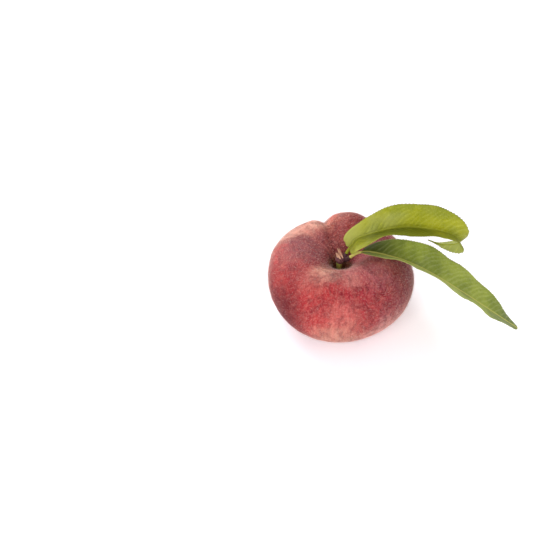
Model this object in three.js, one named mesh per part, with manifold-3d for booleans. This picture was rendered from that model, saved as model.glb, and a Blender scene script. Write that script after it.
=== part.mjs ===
// A flat (doughnut-shaped) peach with its woody twig stub and two leaves.
// Millimetres. +X is to the right, +Y away from the front, +Z up; the fruit rests on Z = 0.
// While it is drawn, the fruit's core line is X = Y = 0; the whole group is centred at the end.
import * as THREE from "three";
import { mergeVertices } from "three/addons/utils/BufferGeometryUtils.js";
import Module from "manifold-3d";

const wasm = await Module();
wasm.setup();

// ---- driving dimensions ----
// Half section of the fruit as [radius, height], from the cavity floor over the shoulder and
// belly to the shallow dimple underneath.
const FRUIT_SECTION = [
  [0, 19.5], [3, 20], [4.3, 23.5], [5.5, 27.5], [9.7, 32.1], [16.8, 35.3], [25.5, 33.7],
  [31.7, 27.2], [34, 18.5], [31.7, 9.8], [25.6, 3.2], [17.5, -0.5], [9, 1.5], [3, 4], [0, 4],
];
const FRUIT_STEPS_DOWN = 42;
const FRUIT_STEPS_ROUND = 72;
const BELLY_HEIGHT = 20.5; // the widest level; the top half's swellings start here
const TOP_DEPTH = 16;
const FLESH_MIDDLE = 20; // height of the middle of the flesh, which the suture sinks towards
// Soft lobes round the fruit: depth as a share of the radius, and turn in degrees from +X.
const LOBES = [
  { count: 1, depth: -0.027, turn: 0 },
  { count: 2, depth: -0.022, turn: 25 },
  { count: 3, depth: 0.026, turn: 0 },
];
const SHOULDER_RADIUS = 17;
const TILT = { height: 2.1, turn: -27 }; // the shoulders stand this much higher on one side
// The suture is the groove down one side. Its floor fades out towards the cavity and underneath.
const SUTURE = { turn: 104, depth: 2.2, width: 3, fromRadius: 4, fadeOut: 8, fromHeight: 4, fadeUp: 20 };
// The cheek stands proud beside the suture, and the skin on its other side lies a little low.
const CHEEK = { height: 4.2, turn: -28, width: 24, fade: 12 };
const CHEEK_DIP = { share: 0.5, turn: 30, width: 26 };

const STALK = {
  radii: [0.95, 1.1, 1.25],
  path: [[-1, 0, 20.15], [-1, 0, 24.5], [-0.9, 0, 28.2]],
};
const TWIG = {
  radii: [1.6, 2, 1.85],
  path: [[-0.8, 0, 28.5], [-0.6, 0.1, 29.8], [-0.6, 0.2, 31.05]],
};
// The side shoot leaves the twig and carries a spur for each leaf.
const SIDE_ARMS = [
  { radii: [1, 1.15, 1.25], path: [[-0.3, 0.1, 29.7], [1.1, 0.1, 29.6], [2.1, 0, 30.1]] },
  { radii: [1, 1.05, 0.9], path: [[1.2, 0.3, 30], [1.5, 0.7, 31.1], [1.8, 0.9, 32.1]] },
  { radii: [1, 1.1, 0.9], path: [[1.8, -0.2, 29.9], [2.6, -1, 31.1], [3.2, -1.4, 32.05]] },
];

// Dry scales of the twig's end bud: foot on the twig, tip, and half width.
const BUD_SCALES = [
  { foot: [0.3, -0.5, 31.4], tip: [-2.3, -0.3, 37], width: 0.5 },
  { foot: [-0.6, -1.15, 31.4], tip: [-2.7, -1.1, 35.3], width: 0.5 },
  { foot: [-1.5, -0.3, 31.4], tip: [-2.9, 0.1, 33.9], width: 0.45 },
  { foot: [-0.1, 0.3, 31.4], tip: [-1.6, 0.6, 36.4], width: 0.45 },
  { foot: [-0.6, 1.1, 31.4], tip: [-2.2, 1.4, 35.2], width: 0.5 },
];
const SCALE_THICKNESS = 0.4;
const SCALE_NARROWING = 0.85;
const SCALE_BULGE = 0.5;

const BLADE_THICKNESS = 0.4;
const PETIOLE_RADIUS = 0.75;
const RIB_TIP_RADIUS = 0.22;
const RIB_TAPER = 0.3; // how fast the rib thins from the petiole on
const RIB_ABOVE = 0.35; // the rib's height above the blade, as a share of its depth below
const LEAF_STATIONS = 64;
const LEAF_RING = 16;
// A leaf is drawn along its midrib. "fold" lifts each half of the blade, in degrees above flat,
// from the foot of the blade to its tip; "swell" sets how full each half is near the foot and tip.
const UPPER_LEAF = {
  midrib: [
    [2, 1, 32.5], [4.5, 1.5, 37.5], [9, 2, 42], [27, 2.5, 47], [45.5, 2.5, 44], [53, 2.5, 38],
    [46, 4, 35], [39, 6, 36.5],
  ],
  halfWidth: 13,
  petiole: 0.045,
  swellFar: [0.65, 1.1],
  swellNear: [0.4, 1.1],
  foldFar: [95, 85, 70, 45, 25],
  foldNear: [12, 35, 28, 25, -40],
};
const LOWER_LEAF = {
  midrib: [
    [3.5, -1.5, 32.5], [8, -3, 37], [16, -5.5, 38.5], [30, -9, 36], [47, -14, 28.5],
    [80, -22, 7.5],
  ],
  halfWidth: 13,
  petiole: 0.08,
  swellFar: [0.6, 0.65],
  swellNear: [0.6, 0.65],
  foldFar: [10, 20, 10, 5, -10],
  foldNear: [25, 38, 34, 28, 20],
};

// ---- materials ----
const paint = (colour, roughness) =>
  new THREE.MeshStandardMaterial({ color: colour, roughness, metalness: 0 });
const skin = paint(0xb4565a, 0.75);
const greenStalk = paint(0x8f9440, 0.7);
const bark = paint(0x6a4a44, 0.85);
const dryScale = paint(0xc09a78, 0.85);
const upperGreen = paint(0xa2b13a, 0.5);
const lowerGreen = paint(0x7d9a45, 0.5);

// ---- helpers ----
const clamp01 = (value) => Math.min(Math.max(value, 0), 1);
const radians = (degrees) => (degrees * Math.PI) / 180;
const vector = (xyz) => new THREE.Vector3(...xyz);
const curveThrough = (points) =>
  new THREE.CatmullRomCurve3(points.map(vector), false, "catmullrom", 0.5);
const bell = (value) => Math.exp(-(value ** 2));

// A turn brought to between -PI and PI.
const wrapped = (turn) => THREE.MathUtils.euclideanModulo(turn + Math.PI, 2 * Math.PI) - Math.PI;

// One smooth value from an evenly spaced list, "at" going from 0 to 1.
function blend(list, at) {
  const curve = new THREE.SplineCurve(list.map((value, i) => new THREE.Vector2(i, value)));
  return curve.getPoint(clamp01(at)).y;
}

function geometryFrom(points, faces) {
  const geometry = new THREE.BufferGeometry();
  const positions = points.flatMap((point) => [point.x, point.y, point.z]);
  geometry.setAttribute("position", new THREE.Float32BufferAttribute(positions, 3));
  geometry.setIndex(faces.flat());
  geometry.computeVertexNormals();
  return geometry;
}

// Skins a list of rings, each running the same way round the line of travel, and closes both ends.
function loft(rings) {
  const count = rings[0].length;
  const points = rings.flat();
  const faces = [];
  for (let i = 0; i + 1 < rings.length; i += 1) {
    for (let k = 0; k < count; k += 1) {
      const a = i * count + k;
      const b = i * count + ((k + 1) % count);
      faces.push([a, b, a + count], [a + count, b, b + count]);
    }
  }
  const last = (rings.length - 1) * count;
  const middle = (ring) => ring.reduce((sum, p) => sum.add(p), vector([0, 0, 0])).divideScalar(count);
  points.push(middle(rings[0]), middle(rings[rings.length - 1]));
  for (let k = 0; k < count; k += 1) {
    const next = (k + 1) % count;
    faces.push([points.length - 2, next, k], [points.length - 1, last + k, last + next]);
  }
  return geometryFrom(points, faces);
}

// Evenly spaced stations along a path, each with its tangent, an "up" carried along without
// twisting, and the sideways direction that completes them.
function stationsAlong(path, count, firstUp) {
  const centres = path.getSpacedPoints(count);
  let up = firstUp.clone();
  return centres.map((centre, i) => {
    const before = centres[Math.max(i - 1, 0)];
    const after = centres[Math.min(i + 1, count)];
    const along = after.clone().sub(before).normalize();
    up = up.clone().addScaledVector(along, -up.dot(along)).normalize();
    return { centre, along, up, side: up.clone().cross(along), at: i / count };
  });
}

// A round tube that follows a path and changes radius along it.
function taperedTube({ path, radii }, steps, around) {
  const stations = stationsAlong(curveThrough(path), steps, vector([0, 1, 0]));
  return loft(stations.map(({ centre, up, side, at }) => {
    const radius = blend(radii, at);
    return Array.from({ length: around }, (_, k) => {
      const turn = (2 * Math.PI * k) / around;
      return centre.clone().addScaledVector(side, radius * Math.cos(turn))
        .addScaledVector(up, radius * Math.sin(turn));
    });
  }));
}

function solidFrom(geometry) {
  const plain = geometry.clone();
  plain.deleteAttribute("normal");
  plain.deleteAttribute("uv");
  const merged = mergeVertices(plain, 1e-4);
  return new wasm.Manifold(new wasm.Mesh({
    numProp: 3,
    vertProperties: new Float32Array(merged.attributes.position.array),
    triVerts: new Uint32Array(merged.index.array),
  }));
}

function geometryOf(solid) {
  const mesh = solid.getMesh();
  const geometry = new THREE.BufferGeometry();
  geometry.setAttribute("position", new THREE.BufferAttribute(mesh.vertProperties, 3));
  geometry.setIndex(new THREE.BufferAttribute(mesh.triVerts, 1));
  geometry.computeVertexNormals();
  return geometry;
}

// ---- fruit ----
// How far the groove of the suture goes in at a point of the turned section.
function sutureSink(radius, height, fromSuture) {
  const across = (fromSuture * Math.max(radius, SUTURE.fromRadius)) / SUTURE.width;
  const fadeOut = clamp01((radius - SUTURE.fromRadius) / SUTURE.fadeOut);
  const fadeUp = clamp01((height - SUTURE.fromHeight) / SUTURE.fadeUp);
  return SUTURE.depth * bell(across) * fadeOut * fadeUp;
}

// How far the shoulders and the proud cheek stand up from the turned section.
function shoulderLift(radius, turn, fromSuture) {
  const tilt = TILT.height * Math.cos(turn - radians(TILT.turn)) * clamp01(radius / SHOULDER_RADIUS);
  const proud = bell((fromSuture - radians(CHEEK.turn)) / radians(CHEEK.width));
  const dip = bell((fromSuture - radians(CHEEK_DIP.turn)) / radians(CHEEK_DIP.width));
  return tilt + CHEEK.height * (proud - CHEEK_DIP.share * dip) * clamp01(radius / CHEEK.fade);
}

// Takes a point of the turned section to its place on the lopsided, three-lobed fruit.
function fruitPoint(radius, height, turn) {
  const lobes = LOBES.reduce(
    (sum, { count, depth, turn: first }) => sum + depth * Math.cos(count * (turn - radians(first))),
    1,
  );
  const fromSuture = wrapped(turn - radians(SUTURE.turn));
  const sink = sutureSink(radius, height, fromSuture);
  const inward = new THREE.Vector2(SHOULDER_RADIUS - radius, FLESH_MIDDLE - height).normalize();
  const top = THREE.MathUtils.smoothstep(height, BELLY_HEIGHT, BELLY_HEIGHT + TOP_DEPTH);
  const finalRadius = (radius + inward.x * sink) * lobes;
  const finalHeight = height + inward.y * sink + shoulderLift(radius, turn, fromSuture) * top;
  return vector([
    finalRadius * Math.cos(turn),
    finalRadius * Math.sin(turn),
    Math.max(finalHeight, 0),
  ]);
}

function fruitGeometry() {
  const section = new THREE.SplineCurve(FRUIT_SECTION.map(([r, z]) => new THREE.Vector2(r, z)));
  const outline = section.getPoints(FRUIT_STEPS_DOWN);
  const points = [vector([0, 0, outline[0].y]), vector([0, 0, outline[FRUIT_STEPS_DOWN].y])];
  for (const { x: radius, y: height } of outline.slice(1, -1)) {
    for (let k = 0; k < FRUIT_STEPS_ROUND; k += 1) {
      points.push(fruitPoint(radius, height, (2 * Math.PI * k) / FRUIT_STEPS_ROUND));
    }
  }
  const faces = [];
  const vertex = (row, k) => 2 + row * FRUIT_STEPS_ROUND + (k % FRUIT_STEPS_ROUND);
  const rows = FRUIT_STEPS_DOWN - 1;
  for (let k = 0; k < FRUIT_STEPS_ROUND; k += 1) {
    faces.push([0, vertex(0, k), vertex(0, k + 1)]);
    faces.push([1, vertex(rows - 1, k + 1), vertex(rows - 1, k)]);
    for (let row = 0; row + 1 < rows; row += 1) {
      faces.push([vertex(row, k), vertex(row + 1, k), vertex(row, k + 1)]);
      faces.push([vertex(row, k + 1), vertex(row + 1, k), vertex(row + 1, k + 1)]);
    }
  }
  return geometryFrom(points, faces);
}

// ---- leaves ----
// The width of half a blade rises quickly from the petiole and runs out to a point.
function bladeHalfWidth(halfWidth, [foot, tip], share) {
  const peak = foot / (foot + tip);
  const fullest = peak ** foot * (1 - peak) ** tip;
  return (halfWidth * share ** foot * (1 - share) ** tip) / fullest;
}

// One cross-section: a thin V with a thicker rib standing out below its middle.
function leafRing(leaf, { centre, up, side, at }) {
  const share = clamp01((at - leaf.petiole) / (1 - leaf.petiole));
  const rib = PETIOLE_RADIUS + (RIB_TIP_RADIUS - PETIOLE_RADIUS) * at ** RIB_TAPER;
  return Array.from({ length: LEAF_RING }, (_, k) => {
    const turn = (2 * Math.PI * k) / LEAF_RING;
    const across = Math.cos(turn);
    const [swell, folds] = across < 0
      ? [leaf.swellNear, leaf.foldNear]
      : [leaf.swellFar, leaf.foldFar];
    const half = Math.max(bladeHalfWidth(leaf.halfWidth, swell, share), rib);
    const lift = radians(blend(folds, share)) * clamp01(half / rib - 1);
    const lean = Math.abs(across) < 1e-6 ? 0 : lift * Math.sign(across);
    const ribHeight = (Math.sin(turn) < 0 ? rib : RIB_ABOVE * rib) * bell((across * half) / rib);
    const height = Math.sin(turn) * (BLADE_THICKNESS / 2 + ribHeight);
    return centre.clone()
      .addScaledVector(side, across * half * Math.cos(lift) - height * Math.sin(lean))
      .addScaledVector(up, Math.abs(across) * half * Math.sin(lift) + height * Math.cos(lean));
  });
}

function leafGeometry(leaf) {
  const stations = stationsAlong(curveThrough(leaf.midrib), LEAF_STATIONS, vector([0, 0, 1]));
  return loft(stations.map((station) => leafRing(leaf, station)));
}

// ---- bud scales ----
// A thin strip that narrows to a point, as dry bud scales do.
function scaleGeometry({ foot, tip, width }) {
  const bulge = vector(foot).lerp(vector(tip), 0.5).add(vector([0, 0, SCALE_BULGE]));
  const path = curveThrough([foot, bulge.toArray(), tip]);
  return loft(stationsAlong(path, 6, vector([0, 1, 0])).map(({ centre, up, side, at }) => {
    const half = width * (1 - SCALE_NARROWING * at ** 2);
    return Array.from({ length: 8 }, (_, k) => {
      const turn = (Math.PI * k) / 4;
      return centre.clone().addScaledVector(side, half * Math.cos(turn))
        .addScaledVector(up, (SCALE_THICKNESS / 2) * Math.sin(turn));
    });
  }));
}

// ---- assembly ----
const peach = new THREE.Group();
peach.name = "peach";

function addPiece(name, geometry, material) {
  const mesh = new THREE.Mesh(geometry, material);
  mesh.name = name;
  peach.add(mesh);
}

addPiece("fruit", fruitGeometry(), skin);
addPiece("fruit_stalk", taperedTube(STALK, 6, 16), greenStalk);

const [stub, ...arms] = [TWIG, ...SIDE_ARMS].map((arm) => solidFrom(taperedTube(arm, 8, 16)));
addPiece("twig", geometryOf(arms.reduce((whole, arm) => whole.add(arm), stub)), bark);

BUD_SCALES.forEach((scale, i) => addPiece(`bud_scale_${i + 1}`, scaleGeometry(scale), dryScale));
addPiece("upper_leaf", leafGeometry(UPPER_LEAF), upperGreen);
addPiece("lower_leaf", leafGeometry(LOWER_LEAF), lowerGreen);

const bounds = new THREE.Box3().setFromObject(peach);
const middle = bounds.getCenter(vector([0, 0, 0]));
peach.position.set(-middle.x, -middle.y, -bounds.min.z);

export default peach;
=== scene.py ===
import math

import bpy
import numpy as np
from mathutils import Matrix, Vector


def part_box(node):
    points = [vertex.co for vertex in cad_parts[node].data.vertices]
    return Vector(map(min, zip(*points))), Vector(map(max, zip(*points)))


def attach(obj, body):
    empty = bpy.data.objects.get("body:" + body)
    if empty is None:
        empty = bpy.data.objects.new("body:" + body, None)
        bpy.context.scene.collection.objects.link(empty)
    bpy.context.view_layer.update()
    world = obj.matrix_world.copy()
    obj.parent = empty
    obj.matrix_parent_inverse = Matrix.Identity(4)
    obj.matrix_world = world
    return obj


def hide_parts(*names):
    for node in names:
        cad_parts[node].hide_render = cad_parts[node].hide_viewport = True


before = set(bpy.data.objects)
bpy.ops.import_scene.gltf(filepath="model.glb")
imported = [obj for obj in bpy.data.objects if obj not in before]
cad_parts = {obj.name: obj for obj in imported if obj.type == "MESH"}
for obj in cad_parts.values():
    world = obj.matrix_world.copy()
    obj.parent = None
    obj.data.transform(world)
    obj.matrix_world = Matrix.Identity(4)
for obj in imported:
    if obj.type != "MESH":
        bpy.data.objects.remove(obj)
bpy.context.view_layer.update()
scene = bpy.context.scene

# ---------------------------------------------------------------------------------------------
# The fruit: one ripe flat peach, about twice as wide as it is high. Its form is a turned half
# section, made lopsided by three soft lobes, by the suture down one side and by the cheek that
# stands proud beside it. It rests on a flat ring round the blossom end's dimple.
# ---------------------------------------------------------------------------------------------
MM = 0.001
FRUIT_LEFT = 33.558  # how far the fruit reaches to the left of its core line, mm
FRUIT_FRONT = 34.551  # how far it reaches in front of the core line, mm
fruit_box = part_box("fruit")
CORE = Vector((fruit_box[0][0] + FRUIT_LEFT * MM, fruit_box[0][1] + FRUIT_FRONT * MM, 0.0))

# The half section as (radius, height) in mm, from the cavity floor out over the shoulder and down.
FRUIT_SECTION = [
    (0, 19.5), (3, 20), (4.3, 23.5), (5.5, 27.5), (9.7, 32.1), (16.8, 35.3), (25.5, 33.7),
    (31.7, 27.2), (34, 18.5), (31.7, 9.8), (25.6, 3.2), (17.5, -0.5), (9, 1.5), (3, 4), (0, 4),
]
# Soft lobes round the fruit: how many, depth as a share of the radius, and phase in degrees.
LOBES = [(1.0, -0.027, 0), (2.0, -0.022, 50), (3.0, 0.026, 0)]
TILT_TURN = -27  # degrees from +X to where the tilted shoulders stand highest
# The proud cheek and the low place on the suture's other side, in degrees from the suture.
CHEEK_TURN, CHEEK_WIDTH = -28, 24
DIP_TURN, DIP_WIDTH, DIP_SHARE = 30, 26, 0.5
CHEEK_FADE = 12.0  # the cheek fades out inside this radius, mm
SUTURE_FROM_RADIUS, SUTURE_FADE_OUT = 4.0, 8.0  # the suture deepens outwards from the cavity, mm
SUTURE_FROM_HEIGHT, SUTURE_FADE_UP = 4.0, 20.0  # and upwards from the dimple underneath, mm


def smooth_run(points, count):
    """Count points along one smooth curve through the given ones."""
    points = np.asarray(points, float)
    before = np.vstack([points[:1], points, points[-1:]])
    at = np.linspace(0, len(points) - 1, count)
    leg = np.minimum(at.astype(int), len(points) - 2)
    t = (at - leg)[:, None]
    a, b, c, d = (before[leg + k] for k in range(4))
    bend = 2 * a - 5 * b + 4 * c - d
    return b + 0.5 * t * (c - a + t * (bend + t * (3 * (b - c) + d - a)))


def feed(tree, place, item):
    """Sets a node's input, or joins another node's output to it."""
    if isinstance(item, Number):
        tree.links.new(item.socket, place)
    elif isinstance(item, bpy.types.NodeSocket):
        tree.links.new(item, place)
    else:
        place.default_value = item


class Number:
    """A number on its way through a node tree. A sum written with it becomes Math nodes."""

    def __init__(self, tree, socket):
        self.tree = tree
        self.socket = socket

    def by(self, operation, *others):
        node = self.tree.nodes.new("ShaderNodeMath")
        node.operation = operation
        for place, item in zip(node.inputs, (self, *others)):
            feed(self.tree, place, item)
        return Number(self.tree, node.outputs[0])

    def __add__(self, other):
        return self.by("ADD", other)

    def __sub__(self, other):
        return self.by("SUBTRACT", other)

    def __mul__(self, other):
        return self.by("MULTIPLY", other)

    def __truediv__(self, other):
        return self.by("DIVIDE", other)

    def __pow__(self, other):
        return self.by("POWER", other)

    def __rsub__(self, other):
        return self.by("MULTIPLY_ADD", -1.0, other)

    __radd__ = __add__
    __rmul__ = __mul__

    def held(self, low=0.0, high=1.0):
        return self.by("MAXIMUM", low).by("MINIMUM", high)

    def rise(self, low, high):
        """0 below low, 1 above high, and a smooth climb between them."""
        node = self.tree.nodes.new("ShaderNodeMapRange")
        node.interpolation_type = "SMOOTHSTEP"
        for name, item in (("Value", self), ("From Min", low), ("From Max", high)):
            feed(self.tree, node.inputs[name], item)
        return Number(self.tree, node.outputs[0])

    def bell(self, width):
        """1 where the number is 0, falling away over the width on both sides."""
        part = self / width
        return (part * part * -1.0).by("EXPONENT")

    def between(self, low, high):
        """Low where the number is 0 and high where it is 1."""
        return self.by("MULTIPLY_ADD", high - low, low)


def node_of(tree, kind, settings=(), **inputs):
    """A node with its settings made and its inputs fed. An underscore stands for a space."""
    node = tree.nodes.new(kind)
    for name, value in dict(settings).items():
        setattr(node, name, value)
    for name, item in inputs.items():
        feed(tree, node.inputs[name.replace("_", " ")], item)
    return node


def parts_of(tree, vector):
    split = node_of(tree, "ShaderNodeSeparateXYZ", Vector=vector)
    return [Number(tree, output) for output in split.outputs]


def joined(tree, x, y, z):
    return node_of(tree, "ShaderNodeCombineXYZ", X=x, Y=y, Z=z).outputs[0]


def vector_sum(tree, operation, first, second):
    node = tree.nodes.new("ShaderNodeVectorMath")
    node.operation = operation
    feed(tree, node.inputs[0], first)
    feed(tree, node.inputs["Scale"] if operation == "SCALE" else node.inputs[1], second)
    return node.outputs["Value"] if operation in ("DISTANCE", "DOT_PRODUCT") else node.outputs[0]


def noise_of(tree, vector, scale, detail=2.0, roughness=0.5):
    node = node_of(tree, "ShaderNodeTexNoise", Vector=vector, Scale=scale, Detail=detail,
                   Roughness=roughness)
    return Number(tree, node.outputs[0])


def new_growth(name, inputs):
    """A Geometry Nodes tree with named inputs; returns it, its inputs by name and its output node."""
    tree = bpy.data.node_groups.new(name, "GeometryNodeTree")
    tree.interface.new_socket("Geometry", in_out="INPUT", socket_type="NodeSocketGeometry")
    tree.interface.new_socket("Geometry", in_out="OUTPUT", socket_type="NodeSocketGeometry")
    for label, kind in inputs.items():
        tree.interface.new_socket(label, in_out="INPUT", socket_type="NodeSocket" + kind)
    entry = tree.nodes.new("NodeGroupInput")
    given = {}
    for output in entry.outputs[:-1]:
        plain = output.name == "Geometry" or inputs[output.name] in ("Material", "Vector")
        given[output.name] = output if plain else Number(tree, output)
    return tree, given, tree.nodes.new("NodeGroupOutput")


def grown(name, start, tree, **settings):
    """Runs a tree on a starting mesh and returns the result as a piece with a plain mesh."""
    maker = bpy.data.objects.new(name + "_maker", start)
    scene.collection.objects.link(maker)
    modifier = maker.modifiers.new("grow", "NODES")
    modifier.node_group = tree
    wanted = {label.replace("_", " "): value for label, value in settings.items()}
    for item in tree.interface.items_tree:
        if item.item_type == "SOCKET" and item.in_out == "INPUT" and item.name in wanted:
            modifier[item.identifier] = wanted.pop(item.name)
    assert not wanted, wanted
    depsgraph = bpy.context.evaluated_depsgraph_get()
    body = bpy.data.meshes.new_from_object(
        maker.evaluated_get(depsgraph), preserve_all_data_layers=True, depsgraph=depsgraph)
    bpy.data.objects.remove(maker)
    piece = bpy.data.objects.new(name, body)
    body.name = name
    scene.collection.objects.link(piece)
    return piece


def thread_mesh(name, points, values=()):
    """A line of joined points that carries values for a tree to read along it."""
    mesh = bpy.data.meshes.new(name)
    mesh.from_pydata([tuple(p) for p in points], [(i, i + 1) for i in range(len(points) - 1)], [])
    for label, list_of in dict(values).items():
        list_of = np.asarray(list_of, np.float32)
        kind = "FLOAT_VECTOR" if list_of.ndim == 2 else "FLOAT"
        layer = mesh.attributes.new(label, kind, "POINT")
        layer.data.foreach_set("vector" if list_of.ndim == 2 else "value", list_of.ravel())
    return mesh


def sheet_of_points(tree, along, around):
    """A flat grid to be bent into a form, with its two coordinates as numbers from 0 to 1."""
    grid = node_of(tree, "GeometryNodeMeshGrid", Size_X=1.0, Size_Y=1.0, Vertices_X=along + 1.0,
                   Vertices_Y=around + 1.0)
    x, y, _ = parts_of(tree, tree.nodes.new("GeometryNodeInputPosition").outputs[0])
    return grid.outputs["Mesh"], x + 0.5, y + 0.5


def read_along(tree, thread, at, label=None, kind="FLOAT"):
    """A value, or the place, at a share of the way along a thread."""
    sample = tree.nodes.new("GeometryNodeSampleCurve")
    sample.mode = "FACTOR"
    sample.use_all_curves = True
    feed(tree, sample.inputs["Curves"], thread)
    feed(tree, sample.inputs["Factor"], at)
    if label is None:
        return sample.outputs["Position"]
    sample.data_type = kind
    carried = node_of(tree, "GeometryNodeInputNamedAttribute", {"data_type": kind}, Name=label)
    tree.links.new(next(o for o in carried.outputs if o.enabled), next(
        i for i in sample.inputs if i.name == "Value" and i.enabled))
    value = next(o for o in sample.outputs if o.name == "Value" and o.enabled)
    return value if kind == "FLOAT_VECTOR" else Number(tree, value)


def stood_in_frame(tree, geometry, place):
    """Takes a form drawn in mm round the core line to its place in metres."""
    moved = node_of(tree, "GeometryNodeTransform", Geometry=geometry, Translation=place,
                    Scale=(MM, MM, MM))
    return moved.outputs[0]


def finished(tree, geometry, finish, out, flip=False):
    """The end of every tree: true instances, soft shading and the finish."""
    if flip:
        geometry = node_of(tree, "GeometryNodeFlipFaces", Mesh=geometry).outputs[0]
    whole = node_of(tree, "GeometryNodeRealizeInstances", Geometry=geometry).outputs[0]
    soft = node_of(tree, "GeometryNodeSetShadeSmooth", Geometry=whole).outputs[0]
    dressed = node_of(tree, "GeometryNodeSetMaterial", Geometry=soft, Material=finish).outputs[0]
    tree.links.new(dressed, out.inputs[0])


def fruit_tree():
    names = ["Belly height", "Top depth", "Shoulder radius", "Shoulder tilt", "Suture turn",
             "Suture depth", "Suture width", "Cheek height", "Lump height"]
    inputs = {"Steps down": "Float", "Steps round": "Float", **dict.fromkeys(names, "Float"),
              "Core": "Vector", "Skin": "Material"}
    tree, given, out = new_growth("fruit form", inputs)
    belly, shoulder = given["Belly height"], given["Shoulder radius"]
    section = node_of(tree, "GeometryNodeMeshToCurve", Mesh=given["Geometry"]).outputs[0]
    sheet, down, round_share = sheet_of_points(tree, given["Steps down"], given["Steps round"])
    turn = round_share * (2 * math.pi)
    radius, _, height = parts_of(tree, read_along(tree, section, down))
    radius = radius.by("MAXIMUM", 0.0)

    lobes = 1.0
    for count, depth, phase in LOBES:
        lobes = (turn * count - math.radians(phase)).by("COSINE") * depth + lobes
    top = height.rise(belly, belly + given["Top depth"])
    uphill = (turn - math.radians(TILT_TURN)).by("COSINE")
    tilt = given["Shoulder tilt"] * uphill * (radius / shoulder).held() * top
    apart = (turn - given["Suture turn"]).by("WRAP", -math.pi, math.pi)
    proud = (apart - math.radians(CHEEK_TURN)).bell(math.radians(CHEEK_WIDTH))
    low = (apart - math.radians(DIP_TURN)).bell(math.radians(DIP_WIDTH))
    lift = given["Cheek height"] * (proud - low * DIP_SHARE) * top * (radius / CHEEK_FADE).held()

    # The suture is a soft groove with a finer crease in it, a little off its middle.
    across = apart * radius.by("MAXIMUM", SUTURE_FROM_RADIUS)
    crease = across.bell(given["Suture width"]) + (across - 0.4).bell(1.5) * 0.16
    sink = (given["Suture depth"] * crease
            * ((radius - SUTURE_FROM_RADIUS) / SUTURE_FADE_OUT).held()
            * ((height - SUTURE_FROM_HEIGHT) / SUTURE_FADE_UP).held())
    inward, upward = shoulder - radius, belly - 0.5 - height
    far = (inward * inward + upward * upward).by("SQRT")
    radius = (radius + inward / far * sink) * lobes
    height = height + upward / far * sink + tilt + lift
    place = joined(tree, radius * turn.by("COSINE"), radius * turn.by("SINE"), height)
    shaped = node_of(tree, "GeometryNodeSetPosition", Geometry=sheet, Position=place).outputs[0]
    closed = node_of(tree, "GeometryNodeMergeByDistance", Geometry=shaped, Distance=0.002).outputs[0]

    # Soft lumps and small dimples, as on any grown skin; the resting ring stays flat.
    here = tree.nodes.new("GeometryNodeInputPosition").outputs[0]
    facing = tree.nodes.new("GeometryNodeInputNormal").outputs[0]
    lumps = noise_of(tree, here, 0.09) - 0.5 + (noise_of(tree, here, 0.35) - 0.5) * 0.22
    raised = node_of(tree, "GeometryNodeSetPosition", Geometry=closed, Offset=vector_sum(
        tree, "SCALE", facing, lumps * given["Lump height"])).outputs[0]
    x, y, z = parts_of(tree, here)
    level = node_of(tree, "GeometryNodeSetPosition", Geometry=raised,
                    Position=joined(tree, x, y, z.by("MAXIMUM", 0.0))).outputs[0]
    finished(tree, stood_in_frame(tree, level, given["Core"]), given["Skin"], out)
    return tree


def shade(red, green, blue):
    """A colour as a paint chart gives it, 0 to 255, made linear."""
    parts = (np.array([red, green, blue]) / 255.0).tolist()
    return tuple(p / 12.92 if p <= 0.04045 else ((p + 0.055) / 1.055) ** 2.4 for p in parts) + (1.0,)


def new_finish(name, **sockets):
    """A new material; what is the same all over is set on the shader's own sockets."""
    finish = bpy.data.materials.new(name)
    finish.use_nodes = True
    tree = finish.node_tree
    shader = tree.nodes["Principled BSDF"]
    for label, value in sockets.items():
        shader.inputs[label.replace("_", " ")].default_value = value
    return finish, tree, shader


def blended(tree, share, under, over):
    """One colour laid over another by a share."""
    node = tree.nodes.new("ShaderNodeMix")
    node.data_type = "RGBA"
    for place, item in zip((0, 6, 7), (share, under, over)):
        feed(tree, node.inputs[place], item)
    return node.outputs[2]


def millimetres(tree):
    """The place on the piece in mm, measured from the fruit's core line."""
    own = tree.nodes.new("ShaderNodeTexCoord").outputs["Object"]
    mapping = node_of(tree, "ShaderNodeMapping", Vector=own, Location=-CORE / MM, Scale=(1 / MM,) * 3)
    return mapping.outputs[0]


def bumped(tree, shader, height, distance, strength=1.0):
    """Fine relief that a colour texture's height gives the surface."""
    bump = node_of(tree, "ShaderNodeBump", Height=height, Distance=distance, Strength=strength)
    tree.links.new(bump.outputs[0], shader.inputs["Normal"])


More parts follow.
